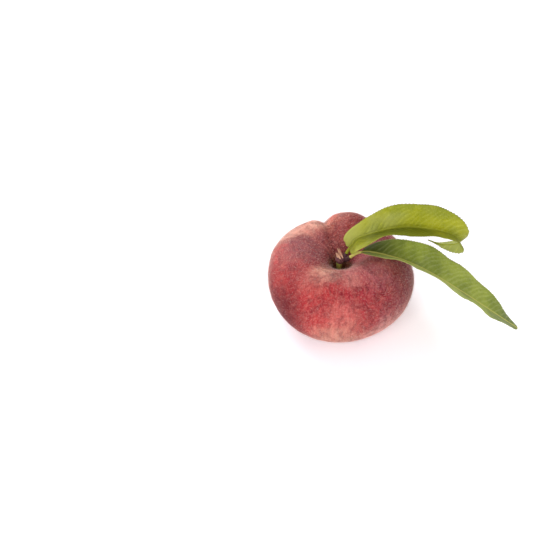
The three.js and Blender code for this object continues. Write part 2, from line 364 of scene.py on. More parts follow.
# Where the skin turns another colour, and where shade and light are painted on it: the middle of
# the patch in mm from the core line, how far it reaches, how softly it ends, its colour and how
# strongly it covers.
SKIN_PATCHES = [
    ((24, -14, 24), 30, 20, shade(120, 42, 62), 0.85),  # dusky wine on the right
    ((30, 14, 22), 24, 14, shade(112, 44, 58), 0.8),
    ((-8, -27, 27), 21, 11, shade(172, 34, 40), 0.9),  # red at the front
    ((-29, 5, 30), 10, 8, shade(208, 80, 76), 0.75),  # coral on the left
    ((9, -26, 28), 13, 9, shade(158, 18, 40), 0.85),  # crimson
    ((-29, -11, 26), 11, 7, shade(164, 30, 34), 0.85),
    # dark red strip along the left edge: painted shadow
    ((-33, -7, 20), 8, 5, shade(112, 22, 28), 0.85),
    ((-27, -22, 17), 13, 9, shade(92, 2, 8), 0.95),  # deep crimson low on the left, darkened further as painted shadow
    ((2, 14, 36), 12, 7, shade(116, 2, 10), 0.95),  # the proud cheek
    ((4, 29, 36), 9, 8, shade(204, 134, 118), 0.7),
    ((-1, -32, 25), 8, 7, shade(206, 108, 100), 0.7),
    ((-1, -33, 7), 15, 8, shade(208, 154, 132), 0.8),  # pale salmon low at the front and right: paler skin, lightened further as painted light from below
    ((22, -28, 4), 15, 9, shade(248, 182, 172), 0.8),
    ((32, -13, 7), 12, 8, shade(240, 168, 158), 0.8),
    ((-10, 30, 12), 27, 20, shade(204, 132, 90), 0.6),  # golden low at the back
    ((-14, 7, 35), 15, 10, shade(130, 70, 80), 0.85),  # mauve-grey on the left shoulder
    # pale salmon at the back left, partly a painted highlight of the lit down
    ((-17, 25, 29), 10, 8, shade(236, 168, 148), 0.85),
    ((2, -15, 35), 8, 6, shade(186, 112, 108), 0.7),  # paler in front of the cavity
    # paler mauve on the cavity's right shoulder, partly painted light where the leaf's shadow falls
    ((12, -10, 36), 12, 8, shade(182, 104, 110), 0.75),
    ((-9, -15, 34.5), 6, 3.6, shade(236, 188, 162), 0.85),  # pale cream by the cavity's lip
    ((-6.5, -8, 32), 3.6, 3, shade(126, 94, 80), 0.8),
    ((-4.5, -17.5, 35.5), 4.6, 3, shade(124, 90, 82), 0.85),
    ((-14, -18, 34), 7, 5, shade(182, 96, 88), 0.6),
    ((3, -21, 35.5), 4, 3.6, shade(216, 140, 130), 0.6),
    ((-10, 24, 32.5), 5, 4, shade(246, 196, 172), 0.8),
    ((-25, 22, 26), 9, 10, shade(246, 192, 168), 0.72),  # pale along the suture's lip at the back left, partly a painted rim highlight
    ((-4, 26, 33), 3.4, 3, shade(238, 122, 104), 0.7),
    ((-2, 12, 31), 5, 4, shade(98, 28, 32), 0.65),  # dark along the suture's floor: painted shade in the groove
    ((-1, 7, 27), 6.5, 4, shade(74, 22, 22), 0.85),  # the cavity's far wall, darkened as painted shade
    ((-1, 0, 22), 7.4, 1.8, shade(84, 76, 34), 0.95),  # greenish skin deep in the cavity, darkened as painted shade
]


SKIN_GROUND = (shade(148, 46, 50), shade(124, 40, 50))  # the colour between the patches
FINE_STREAK, BROAD_STREAK = shade(88, 20, 34), shade(190, 104, 92)
DARK_BLOTCH, PALE_MOTTLE = shade(96, 16, 30), shade(200, 104, 94)
PALE_GRAIN, DARK_GRAIN = shade(238, 150, 140), shade(58, 8, 14)
LENTICEL = shade(222, 150, 136)
PATCH_STRAY = 16.0  # how far a patch's edge wanders, mm
SMALL_PATCH = 8  # patches up to this reach wander less, mm
RUBBED_AND_SHADED = (-29, -20, 16)  # the middle of the place where the down is rubbed off and painted shade darkens the skin, mm
RUBBED_AND_SHADED_REACH = (7.0, 21.0)  # bare up to the first distance, and full down from the second on, mm


def rubbed_and_shaded_share(tree, place):
    """1 where the down is rubbed off and the skin takes painted shade, and 0 where it is whole."""
    return 1.0 - Number(tree, vector_sum(tree, "DISTANCE", place, RUBBED_AND_SHADED)).rise(*RUBBED_AND_SHADED_REACH)


def skin_finish():
    finish, tree, shader = new_finish("peach_skin", Roughness=0.62, Sheen_Roughness=0.2,
                                      Sheen_Tint=shade(255, 232, 220), Specular_IOR_Level=0.2)
    here = millimetres(tree)
    x, y, z = parts_of(tree, here)
    radius = (x * x + y * y).by("SQRT").by("MAXIMUM", 0.5)

    # Streaks run from the stalk to the blossom end, so they follow the turn and barely the height.
    def streaks(fineness, stretch, detail):
        along = joined(tree, x / radius * fineness, y / radius * fineness, (z - radius) * stretch)
        return noise_of(tree, along, 1.0, detail)

    wander = node_of(tree, "ShaderNodeTexNoise", Vector=here, Scale=0.09, Detail=3.0).outputs["Color"]
    stray = vector_sum(
        tree, "SCALE", vector_sum(tree, "SUBTRACT", wander, (0.5, 0.5, 0.5)), PATCH_STRAY)
    strayed = vector_sum(tree, "ADD", here, stray)
    colour = blended(tree, noise_of(tree, here, 0.12, 4.0).rise(0.35, 0.68), *SKIN_GROUND)
    ragged = (noise_of(tree, here, 0.5, 4.0, 0.65) - 0.5) * 9.0
    near_strayed = vector_sum(tree, "ADD", here, vector_sum(tree, "SCALE", stray, 0.35))
    for centre, reach, soft, tint, cover in SKIN_PATCHES:
        warped = strayed if reach > SMALL_PATCH else near_strayed
        away = Number(tree, vector_sum(tree, "DISTANCE", warped, centre))
        away = away + ragged * (reach / PATCH_STRAY + 0.3)
        share = (1.0 - away.rise(reach - soft, reach + soft * 0.6)) * cover
        colour = blended(tree, share, colour, tint)

    rubbed_and_shaded = rubbed_and_shaded_share(tree, here)
    # Pale marks fade where the down is rubbed off: painted shade low on the left.
    pale_share = 1.0 - rubbed_and_shaded * 0.65
    fine = streaks(34.0, 0.16, 4.0).rise(0.36, 0.68)
    colour = blended(tree, fine * 0.32, colour, FINE_STREAK)
    broad = streaks(9.0, 0.05, 3.0).rise(0.42, 0.72)
    colour = blended(tree, broad * pale_share * 0.3, colour, BROAD_STREAK)
    blotch = noise_of(tree, strayed, 0.24, 5.0, 0.6).rise(0.44, 0.62)
    colour = blended(tree, blotch * 0.5, colour, DARK_BLOTCH)
    mottle = noise_of(tree, here, 0.7, 4.0, 0.6).rise(0.4, 0.66)
    colour = blended(tree, mottle * pale_share * 0.26, colour, PALE_MOTTLE)
    grain = noise_of(tree, here, 1.1, 3.0, 0.62)
    colour = blended(tree, grain.rise(0.5, 0.72) * pale_share * 0.2, colour, PALE_GRAIN)
    colour = blended(tree, (1.0 - grain.rise(0.3, 0.52)) * 0.26, colour, DARK_GRAIN)

    # Lenticels: small pale dots, a couple of millimetres apart.
    dots = node_of(tree, "ShaderNodeTexVoronoi", Vector=here, Scale=0.55).outputs["Distance"]
    spots = (1.0 - Number(tree, dots).rise(0.08, 0.34)) * pale_share
    colour = blended(tree, spots * 0.24, colour, LENTICEL)
    tree.links.new(colour, shader.inputs["Base Color"])
    pores = noise_of(tree, here, 5.0, 3.0) + noise_of(tree, here, 1.4, 2.0)
    tree.links.new((0.56 + pores * 0.08).socket, shader.inputs["Roughness"])
    bumped(tree, shader, pores.socket, 0.00012, 0.5)

    # Down gives the skin its soft sheen: more at the back left, less where it is rubbed off.
    thick = (y - x).rise(4.0, 36.0) * 0.5
    tree.links.new((0.5 + thick - rubbed_and_shaded * 0.5).socket, shader.inputs["Sheen Weight"])
    return finish


section_mesh = thread_mesh("half section", [(r, 0, z) for r, z in smooth_run(FRUIT_SECTION, 240)])
skin = grown(
    "fruit_skin", section_mesh, fruit_tree(), Steps_down=210.0, Steps_round=380.0, Belly_height=20.5,
    Top_depth=16.0, Shoulder_radius=17.0, Shoulder_tilt=2.1, Suture_turn=math.radians(104),
    Suture_depth=2.6, Suture_width=3.1, Cheek_height=4.2, Lump_height=0.8, Core=CORE,
    Skin=skin_finish())
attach(skin, "root")
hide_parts("fruit")

# ---------------------------------------------------------------------------------------------
# The down: short fine hairs that stand on the whole skin and catch the light along its edge.
# They grow from the skin, a few to each square millimetre, and lean a little every way.
# ---------------------------------------------------------------------------------------------
DOWN_LENGTH = 0.8  # mm
DOWN_THICKNESS = 0.026  # at the foot, mm
DOWN_PER_SQUARE_METRE = 1.7e6  # in each of the four layers
DOWN_LEAN = 0.7  # radians either way
DOWN_SIZES = (0.45, 1.25)  # the shortest and longest hair, as shares of the length


def down_tree():
    inputs = {"Hairs per square metre": "Float", "Length": "Float", "Thickness": "Float",
              "Lean": "Float", "Seed": "Int", "Down": "Material"}
    tree, given, out = new_growth("down", inputs)
    here = tree.nodes.new("GeometryNodeInputPosition").outputs[0]
    height = parts_of(tree, here)[2]
    from_core = vector_sum(tree, "SCALE", vector_sum(tree, "SUBTRACT", here, tuple(CORE)), 1 / MM)
    kept = 1.0 - rubbed_and_shaded_share(tree, from_core) * 0.75
    clear = height.rise(given["Length"], given["Length"] * 3.0)  # none where the fruit rests
    spots = node_of(tree, "GeometryNodeDistributePointsOnFaces", Mesh=given["Geometry"],
                    Seed=given["Seed"], Density=given["Hairs per square metre"] * kept * clear)
    hair = node_of(tree, "GeometryNodeMeshCone", Vertices=3, Radius_Top=0.0,
                   Radius_Bottom=given["Thickness"], Depth=given["Length"]).outputs["Mesh"]
    lean = node_of(tree, "FunctionNodeRandomValue", {"data_type": "FLOAT_VECTOR"}, Seed=given["Seed"])
    feed(tree, lean.inputs[0], joined(tree, given["Lean"] * -1.0, given["Lean"] * -1.0, 0.0))
    feed(tree, lean.inputs[1], joined(tree, given["Lean"], given["Lean"], 6.28))  # any way round
    turned = tree.nodes.new("FunctionNodeRotateRotation")
    turned.rotation_space = "LOCAL"
    tree.links.new(spots.outputs["Rotation"], turned.inputs[0])
    tree.links.new(lean.outputs[0], turned.inputs[1])
    size = node_of(tree, "FunctionNodeRandomValue", {"data_type": "FLOAT"}, Seed=given["Seed"] + 7.0)
    feed(tree, size.inputs[2], DOWN_SIZES[0])
    feed(tree, size.inputs[3], DOWN_SIZES[1])
    placed = node_of(tree, "GeometryNodeInstanceOnPoints", Points=spots.outputs["Points"],
                     Instance=hair, Rotation=turned.outputs[0],
                     Scale=next(o for o in size.outputs if o.enabled))
    finished(tree, placed.outputs[0], given["Down"], out)
    return tree


def down_finish_made():
    """Pale hair thin enough for light to pass, so it glows along the fruit's edge."""
    finish, tree, shader = new_finish(
        "peach_down", Base_Color=shade(255, 226, 216), Roughness=1.0, Specular_IOR_Level=0.1)
    through = node_of(tree, "ShaderNodeBsdfTranslucent", Color=shade(255, 238, 230))
    hair = node_of(tree, "ShaderNodeMixShader", Fac=0.5)
    tree.links.new(shader.outputs[0], hair.inputs[1])
    tree.links.new(through.outputs[0], hair.inputs[2])
    tree.links.new(hair.outputs[0], tree.nodes["Material Output"].inputs["Surface"])
    return finish


down_finish = down_finish_made()
down_growth = down_tree()
for number in (1, 2, 3, 4):
    down = grown(
        f"skin_down_{number}", skin.data, down_growth,
        Hairs_per_square_metre=DOWN_PER_SQUARE_METRE, Length=DOWN_LENGTH * MM,
        Thickness=DOWN_THICKNESS / 2 * MM, Lean=DOWN_LEAN, Seed=number, Down=down_finish)
    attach(down, "root")

# ---------------------------------------------------------------------------------------------
# The leaves: each one a thin blade folded along its midrib, with a round stalk, toothed margins
# and close pairs of veins that sweep towards the tip. The upper one arches over and curls under;
# the lower one reaches over the shoulder and down.
# ---------------------------------------------------------------------------------------------
# A leaf is drawn along its midrib, in mm from the fruit's core line. Folds lift each half of the
# blade, in degrees above flat; swells set how full each half is near its foot and its tip.
UPPER_LEAF = {
    "midrib": [(2, 1, 32.5), (4.5, 1.5, 37.5), (9, 2, 42), (27, 2.5, 47), (45.5, 2.5, 44),
               (53, 2.5, 38), (46, 4, 35), (39, 6, 36.5)],
    "half_width": 13, "petiole": 0.045, "swell_far": (0.65, 1.1), "swell_near": (0.4, 1.1),
    "fold_far": (95, 85, 70, 45, 25), "fold_near": (12, 35, 28, 25, -40),
}
LOWER_LEAF = {
    "midrib": [(3.5, -1.5, 32.5), (8, -3, 37), (16, -5.5, 38.5), (30, -9, 36), (47, -14, 28.5),
               (80, -22, 7.5)],
    "half_width": 13, "petiole": 0.08, "swell_far": (0.6, 0.65), "swell_near": (0.6, 0.65),
    "fold_far": (10, 20, 10, 5, -10), "fold_near": (25, 38, 34, 28, 20),
}
THREAD_POINTS = 240
RIB_TAPER = 0.3  # how fast the midrib thins from the stalk on
BLADE_RING = 88.0  # steps round a leaf's cross-section
TOOTH_EVERY = 1.15  # mm along the margin
STEPS_PER_TOOTH = 6.0


def even_run(points, count):
    """The same curve at evenly spaced points, and its length."""
    fine = smooth_run(points, 2000)
    travelled = np.concatenate([[0], np.cumsum(np.linalg.norm(np.diff(fine, axis=0), axis=1))])
    at = np.linspace(0, travelled[-1], count)
    return np.stack([np.interp(at, travelled, fine[:, k]) for k in range(3)], axis=1), travelled[-1]


def smooth_values(values, at):
    run = smooth_run([(v, 0) for v in values], 400)[:, 0]
    return np.interp(at, np.linspace(0, 1, 400), run)


def carried_up(centres, first_up):
    """Up and sideways directions carried along a curve without twisting round it."""
    along = np.gradient(centres, axis=0)
    along /= np.linalg.norm(along, axis=1)[:, None]
    ups = []
    up = np.array(first_up, float)
    for direction in along:
        up = up - direction * up.dot(direction)
        up /= np.linalg.norm(up)
        ups.append(up)
    ups = np.array(ups)
    return ups, np.cross(ups, along)


def half_blade(half_width, swell, share, ribs):
    """The width of half a blade: it rises quickly from the stalk and runs out to a point."""
    foot, tip = swell
    peak = foot / (foot + tip)
    half = half_width * share ** foot * (1 - share) ** tip / (peak ** foot * (1 - peak) ** tip)
    return np.maximum(half, ribs)


def blade_thread(name, midrib, half_width, petiole, swell_far, swell_near, fold_far, fold_near,
                 rib=(0.75, 0.22), first_up=(0, 0, 1)):
    """The midrib as a thread that carries the blade's width, folds and directions."""
    centres, length = even_run(midrib, THREAD_POINTS)
    ups, sides = carried_up(centres, first_up)
    at = np.linspace(0, 1, THREAD_POINTS)
    share = np.clip((at - petiole) / (1 - petiole), 0, 1)
    ribs = rib[0] + (rib[1] - rib[0]) * at ** RIB_TAPER
    far, near = (half_blade(half_width, swell, share, ribs) for swell in (swell_far, swell_near))
    wide = np.clip(np.minimum(far, near) / ribs - 1, 0, 1)
    return thread_mesh(name, centres, {
        "up": ups, "side": sides, "half_far": far, "half_near": near, "rib": ribs, "blade": wide,
        "fold_far": np.radians(smooth_values(fold_far, share)) * wide,
        "fold_near": np.radians(smooth_values(fold_near, share)) * wide,
    }), length


def blade_tree():
    sizes = ["Stations", "Around", "Thickness", "Length", "Vein spacing", "Vein lean", "Vein curve",
             "Vein relief", "Vein strays", "Tooth spacing", "Tooth depth", "Wave height", "Wave length"]
    tree, given, out = new_growth("leaf blade", {**dict.fromkeys(sizes, "Float"), "Core": "Vector",
                                                 "Finish": "Material"})
    midrib = node_of(tree, "GeometryNodeMeshToCurve", Mesh=given["Geometry"]).outputs[0]
    sheet, at, ring = sheet_of_points(tree, given["Stations"], given["Around"])

    def carried(label, kind="FLOAT"):
        return read_along(tree, midrib, at, label, kind)

    centre = read_along(tree, midrib, at)
    up, side = carried("up", "FLOAT_VECTOR"), carried("side", "FLOAT_VECTOR")
    rib, blade = carried("rib"), carried("blade")

    across = (ring * 4.0 - 2.0).by("ABSOLUTE") - 1.0
    face = (0.5 - ring).by("SIGN")
    out_share = across.by("ABSOLUTE")
    half = across.rise(-0.001, 0.001).between(carried("half_near"), carried("half_far"))
    right = (across * half / 0.5).held(-1.0, 1.0)
    along = at * given["Length"]

    # Forward-pointing teeth make the margin; they fade out towards the stalk and the tip.
    tooth = (along / given["Tooth spacing"]).by("FRACT") - 0.5
    inside = at.rise(0.1, 0.2) * (1.0 - at.rise(0.9, 0.99)) * blade
    width = half + given["Tooth depth"] * tooth * inside
    ends = (at / 0.004).held().by("SQRT") * ((1.0 - at) / 0.006).held().by("SQRT")
    width = width * ends
    reach = across * width
    out_from_rib = reach.by("ABSOLUTE")

    # The two halves lift from the midrib, with a small soft turn beside it.
    turn_soft = out_from_rib.rise(-0.3, 1.6)
    far_share = right * 0.5 + 0.5
    fold = far_share.between(carried("fold_near"), carried("fold_far")) * turn_soft
    lean = fold * right

    # Veins leave the midrib in turn on either side, and the blade swells between them.
    sweep = out_from_rib * given["Vein lean"] + out_from_rib * out_from_rib * given["Vein curve"]
    drift = joined(tree, along * 0.6, far_share * 9.0, out_from_rib * 0.1)
    uneven = noise_of(tree, drift, 0.5, 3.0) - 0.5
    phase = (along - sweep + uneven * given["Vein strays"]) / given["Vein spacing"] + far_share * 0.5
    from_vein = ((phase.by("FRACT")) - 0.5).by("ABSOLUTE") * given["Vein spacing"]
    vein = from_vein.bell(0.22) * blade * (1.0 - out_share.rise(0.8, 1.0)) * at.rise(0.08, 0.14)
    rib_share = out_from_rib.bell(rib * 1.1 + 0.12)
    swelling = (from_vein / given["Vein spacing"] * 2.0).rise(0.0, 1.0) - 0.5
    patch = noise_of(tree, joined(tree, along, reach, far_share * 7.0), 0.22, 2.0).rise(0.36, 0.62)
    swelling = swelling * out_from_rib.rise(0.3, 2.5) * (1.0 - out_share.rise(0.6, 0.95)) * patch
    wave = ((along / given["Wave length"] + far_share * 0.37) * (2 * math.pi)).by("SINE")
    wave = wave * out_share * out_share * given["Wave height"] * at.rise(0.12, 0.3) * blade
    own_noise = noise_of(tree, joined(tree, along, reach, far_share), 0.16, 2.0) - 0.5
    lift = (swelling * given["Vein relief"] + wave + own_noise * 0.9 * out_share) * blade

    # Thickness: round in the stalk, thin and flat in the blade, the rib standing out below.
    edge = 1.0 - out_share ** blade.between(2.0, 12.0)
    skin_height = edge.by("MAXIMUM", 0.0).by("SQRT")
    under_rib = rib * rib_share * (1.0 - face * blade * 0.4 - blade * 0.4)
    groove = rib_share * blade * (face * 0.5 + 0.5) * rib * 0.45
    under_vein = vein * (0.5 - face * 0.5) * given["Vein relief"] * 0.8
    height = face * skin_height * (given["Thickness"] * 0.5 + under_rib + under_vein) * ends - groove
    height = height + lift * ends

    sideways = reach * fold.by("COSINE") - height * lean.by("SINE")
    upwards = out_from_rib * fold.by("SINE") + height * lean.by("COSINE")
    place = vector_sum(tree, "ADD", centre, vector_sum(tree, "ADD", vector_sum(
        tree, "SCALE", side, sideways), vector_sum(tree, "SCALE", up, upwards)))

    # What the finish needs to know at each place of the leaf.
    marks = {"vein": vein, "rib_line": rib_share * blade, "across": across, "along": at,
             "under": 0.5 - face * 0.5, "swelling": swelling, "blade_part": blade}
    marked = sheet
    for label, value in marks.items():
        marked = node_of(tree, "GeometryNodeStoreNamedAttribute", {"data_type": "FLOAT"},
                         Geometry=marked, Name=label, Value=value).outputs[0]
    shaped = node_of(tree, "GeometryNodeSetPosition", Geometry=marked, Position=place).outputs[0]
    closed = node_of(tree, "GeometryNodeMergeByDistance", Geometry=shaped, Distance=0.002).outputs[0]
    finished(tree, stood_in_frame(tree, closed, given["Core"]), given["Finish"], out, flip=True)
    return tree


def carried_value(tree, label):
    node = tree.nodes.new("ShaderNodeAttribute")
    node.attribute_name = label
    return Number(tree, node.outputs["Fac"])


def leaf_finish(name, bright, deep, vein_tint, rib_tint, under_tint, tip_tint, dusty, glow, foot,
                near_half_painted_light, foot_end):
    """Green leaf: darker over the swellings, paler veins, and a dull pale underside."""
    finish, tree, shader = new_finish(name, Roughness=0.42, Specular_IOR_Level=0.3)
    here = millimetres(tree)
    along, across = carried_value(tree, "along"), carried_value(tree, "across")
    near_side = (0.0 - across).rise(0.0, 0.15)
    far_side = 1.0 - near_side * 0.8
    near = near_side * along.rise(0.12, 0.3) * (1.0 - along.rise(0.53, 0.66))
    patchy = noise_of(tree, here, 0.09, 4.0, 0.6).rise(0.35, 0.65)
    colour = blended(tree, patchy, bright, deep)
    swell = carried_value(tree, "swelling") + 0.5
    colour = blended(tree, swell.rise(0.1, 0.9) * 0.3, colour, deep)
    net = node_of(tree, "ShaderNodeTexVoronoi", {"feature": "DISTANCE_TO_EDGE"}, Vector=here, Scale=1.1)
    small_veins = 1.0 - Number(tree, net.outputs["Distance"]).rise(0.02, 0.12)
    colour = blended(tree, small_veins * 0.22, colour, vein_tint)
    dust = noise_of(tree, here, 0.05, 3.0).rise(0.5, 0.7) * (1.0 - along.rise(0.25, 0.5))
    colour = blended(tree, dust * 0.6, colour, dusty)
    grain = noise_of(tree, here, 2.2, 3.0, 0.7).rise(0.4, 0.7)
    colour = blended(tree, grain * 0.16, colour, dusty)
    # The foot colour: a painted shadow of the upper leaf on the lower leaf's foot, and on the upper leaf
    # a paler dusty green, partly a painted highlight.
    colour = blended(tree, (1.0 - along.rise(foot_end * 0.4, foot_end)) * far_side * 0.88, colour, foot)
    # Painted light along the near half's middle: shade on the upper leaf, a pale glow on the lower.
    colour = blended(tree, near * 0.7, colour, near_half_painted_light)
    colour = blended(tree, along.rise(0.78, 1.0) * 0.6, colour, tip_tint)
    from_foot = along.rise(0.0, foot_end * 1.2)
    stripe = (1.0 - swell).rise(0.35, 1.0) * noise_of(tree, here, 0.11, 3.0).rise(0.42, 0.62)
    colour = blended(tree, stripe * from_foot * 0.26, colour, vein_tint)
    colour = blended(tree, carried_value(tree, "vein") * from_foot * 0.33, colour, vein_tint)
    under = carried_value(tree, "under").rise(0.4, 0.6)
    pale = blended(tree, carried_value(tree, "vein") * 0.5 + small_veins * 0.15, under_tint, vein_tint)
    colour = blended(tree, under, colour, pale)
    colour = blended(tree, across.by("ABSOLUTE").rise(0.965, 1.0) * 0.5, colour, rib_tint)
    colour = blended(tree, carried_value(tree, "rib_line").rise(0.25, 0.8) * 0.85, colour, rib_tint)
    stalk = 1.0 - carried_value(tree, "blade_part").rise(0.3, 1.0)
    colour = blended(tree, stalk * 0.8, colour, rib_tint)
    tree.links.new(colour, shader.inputs["Base Color"])
    wear = 0.4 + grain * 0.14 + under * 0.2
    tree.links.new(wear.socket, shader.inputs["Roughness"])
    relief = small_veins * -0.5 + noise_of(tree, here, 1.6, 3.0) * 0.8
    bumped(tree, shader, relief.socket, 0.00012, 0.6)

    # A blade this thin lets some light through, greener than what it reflects.
    through = node_of(tree, "ShaderNodeBsdfTranslucent", Color=blended(tree, 0.35, colour, glow))
    sheet = node_of(tree, "ShaderNodeMixShader", Fac=0.3)
    tree.links.new(shader.outputs[0], sheet.inputs[1])
    tree.links.new(through.outputs[0], sheet.inputs[2])
    tree.links.new(sheet.outputs[0], tree.nodes["Material Output"].inputs["Surface"])
    return finish


# "foot" is the colour where the blade starts, up to the share "foot_end" of its length, mostly on
# the far half: a painted shadow of the upper leaf on the lower one, and on the upper one a paler,
# dusty green that is partly a painted highlight. "near_half_painted_light" is the one along the
# near half's middle: painted shade on the upper leaf and a pale painted glow on the lower.
LEAF_FINISHES = {
    "upper_leaf": leaf_finish(
        "upper_leaf_green", bright=shade(188, 188, 18), deep=shade(142, 150, 6),
        vein_tint=shade(214, 218, 104), rib_tint=shade(156, 162, 40),
        under_tint=shade(176, 184, 100), tip_tint=shade(150, 158, 60), dusty=shade(206, 210, 140),
        glow=shade(196, 202, 4), foot=shade(206, 210, 118), near_half_painted_light=shade(100, 112, 10),
        foot_end=0.27),
    "lower_leaf": leaf_finish(
        "lower_leaf_green", bright=shade(192, 206, 78), deep=shade(136, 154, 44),
        vein_tint=shade(220, 226, 152), rib_tint=shade(236, 230, 130),
        under_tint=shade(160, 172, 96), tip_tint=shade(96, 116, 66), dusty=shade(190, 198, 158),
        glow=shade(184, 200, 20), foot=shade(60, 72, 18), near_half_painted_light=shade(208, 216, 120),
        foot_end=0.36),
}

blade_growth = blade_tree()
for label, leaf in (("upper_leaf", UPPER_LEAF), ("lower_leaf", LOWER_LEAF)):
    thread, leaf_length = blade_thread(label + " midrib", **leaf)
    tooth_count = round(leaf_length / TOOTH_EVERY)
    piece = grown(
        label + "_blade", thread, blade_growth, Stations=tooth_count * STEPS_PER_TOOTH,
        Around=BLADE_RING, Thickness=0.32, Length=leaf_length, Vein_spacing=2.7, Vein_lean=0.42,
        Vein_curve=0.045, Vein_relief=0.16, Vein_strays=3.4,
        Tooth_spacing=leaf_length / tooth_count, Tooth_depth=0.5, Wave_height=0.5,
        Wave_length=19.0, Core=CORE, Finish=LEAF_FINISHES[label])
    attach(piece, "root")
    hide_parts(label)

# ---------------------------------------------------------------------------------------------
# The twig: a short woody stub that was broken off with the fruit, with a side shoot that carries
# both leaf stalks. Under it the fruit's own green stalk goes down into the cavity. Both are round
# wood with fine ridges along them, and grow into each other.
# ---------------------------------------------------------------------------------------------
# Each arm is its path in mm from the core line, and its radius along it.
TWIG_ARMS = [
    ([(-0.85, 0, 28.1), (-0.7, 0.1, 29.5), (-0.6, 0.2, 31.15)], (1.6, 2.2, 2.05)),
    ([(-0.3, 0.1, 29.7), (1.1, 0.1, 29.6), (2.1, 0, 30.1)], (1.0, 1.15, 1.25)),
    ([(1.2, 0.3, 30.0), (1.5, 0.7, 31.1), (2.0, 1.0, 32.5)], (1.0, 1.05, 0.85)),
    ([(1.8, -0.2, 29.9), (2.6, -1, 31.1), (3.6, -1.55, 32.5)], (1.0, 1.1, 0.85)),
]
STALK_ARMS = [([(-1, 0, 19.3), (-1, 0, 21), (-1, 0, 25), (-0.9, 0, 28.6)], (1.6, 1.05, 1.2, 1.4))]
LENTICEL_RADIUS = 0.09


def tube_points(path, radii, steps=24, around=24):
    """A closed tube along a path as points and faces."""
    centres, _ = even_run(path, steps)
    ups, sides = carried_up(centres, (0, 1, 0))
    reach = smooth_values(radii, np.linspace(0, 1, steps))
    turns = np.linspace(0, 2 * math.pi, around, endpoint=False)
    rings = [c + r * (np.cos(turns)[:, None] * s + np.sin(turns)[:, None] * u)
             for c, r, s, u in zip(centres, reach, sides, ups)]
    points = np.vstack(rings + [centres[:1], centres[-1:]])
    faces = []
    for i in range(steps - 1):
        for k in range(around):
            a, b = i * around + k, i * around + (k + 1) % around
            faces.append((a, b, b + around, a + around))
    last, foot, head = (steps - 1) * around, steps * around, steps * around + 1
    for k in range(around):
        faces.append((foot, (k + 1) % around, k))
        faces.append((head, last + k, last + (k + 1) % around))
    return points, faces


def welded(name, arms, grain):
    """Tubes grown into one wooden body: joined, then remeshed as a single skin."""
    mesh = bpy.data.meshes.new(name)
    points, faces = [], []
    for path, radii in arms:
        own_points, own_faces = tube_points(path, radii)
        faces += [tuple(len(points) + i for i in face) for face in own_faces]
        points += own_points.tolist()
    mesh.from_pydata(points, [], faces)
    maker = bpy.data.objects.new(name, mesh)
    scene.collection.objects.link(maker)
    remesh = maker.modifiers.new("grow together", "REMESH")
    remesh.mode = "VOXEL"
    remesh.voxel_size = grain
    smooth = maker.modifiers.new("soften", "SMOOTH")
    smooth.factor = 0.5
    smooth.iterations = 6
    depsgraph = bpy.context.evaluated_depsgraph_get()
    body = bpy.data.meshes.new_from_object(maker.evaluated_get(depsgraph), depsgraph=depsgraph)
    bpy.data.objects.remove(maker)
    return body


def bark_tree():
    inputs = {"Ridge height": "Float", "Ring height": "Float", "Ring spacing": "Float",
              "Lenticels per square mm": "Float", "Core": "Vector", "Seed": "Int", "Bark": "Material"}
    tree, given, out = new_growth("bark", inputs)
    here = tree.nodes.new("GeometryNodeInputPosition").outputs[0]
    facing = tree.nodes.new("GeometryNodeInputNormal").outputs[0]
    x, y, z = parts_of(tree, here)
    ridges = noise_of(tree, joined(tree, x * 2.6, y * 2.6, z * 0.7), 1.0, 3.0) - 0.5
    rings = ((z + noise_of(tree, here, 0.8) * 0.6) / given["Ring spacing"] * (2 * math.pi)).by("SINE")
    raised = node_of(tree, "GeometryNodeSetPosition", Geometry=given["Geometry"], Offset=vector_sum(
        tree, "SCALE", facing, ridges * given["Ridge height"] + rings * given["Ring height"])).outputs[0]
    spots = node_of(tree, "GeometryNodeDistributePointsOnFaces", Mesh=raised, Seed=given["Seed"],
                    Density=given["Lenticels per square mm"])
    dot = node_of(tree, "GeometryNodeMeshIcoSphere", Radius=LENTICEL_RADIUS,
                  Subdivisions=2).outputs["Mesh"]
    dots = node_of(tree, "GeometryNodeInstanceOnPoints", Points=spots.outputs["Points"], Instance=dot,
                   Rotation=spots.outputs["Rotation"], Scale=(1.5, 0.8, 0.4)).outputs[0]
    both = tree.nodes.new("GeometryNodeJoinGeometry")
    tree.links.new(raised, both.inputs[0])
    tree.links.new(dots, both.inputs[0])
    finished(tree, stood_in_frame(tree, both.outputs[0], given["Core"]), given["Bark"], out)
    return tree


def wood_finish(name, tint, dark, pale, roughness):
    """Young wood: streaked along its grain, flecked, and darker towards the leaves as painted shade."""
    finish, tree, shader = new_finish(name, Roughness=roughness, Specular_IOR_Level=0.3)
    here = millimetres(tree)
    x, y, z = parts_of(tree, here)
    grain = noise_of(tree, joined(tree, x * 3.0, y * 3.0, z * 0.8), 1.0, 4.0, 0.65)
    colour = blended(tree, grain.rise(0.38, 0.62), dark, tint)
    flecks = noise_of(tree, here, 4.0, 3.0).rise(0.56, 0.7)
    colour = blended(tree, flecks * 0.55, colour, pale)
    # Painted shade: darker towards the side shoot, which stands in the cavity's shadow.
    colour = blended(tree, x.rise(0.2, 1.2) * 0.7, colour, dark)
    tree.links.new(colour, shader.inputs["Base Color"])
    tree.links.new((roughness - 0.1 + grain * 0.2).socket, shader.inputs["Roughness"])
    bumped(tree, shader, grain.socket, 0.00015, 0.7)
    return finish


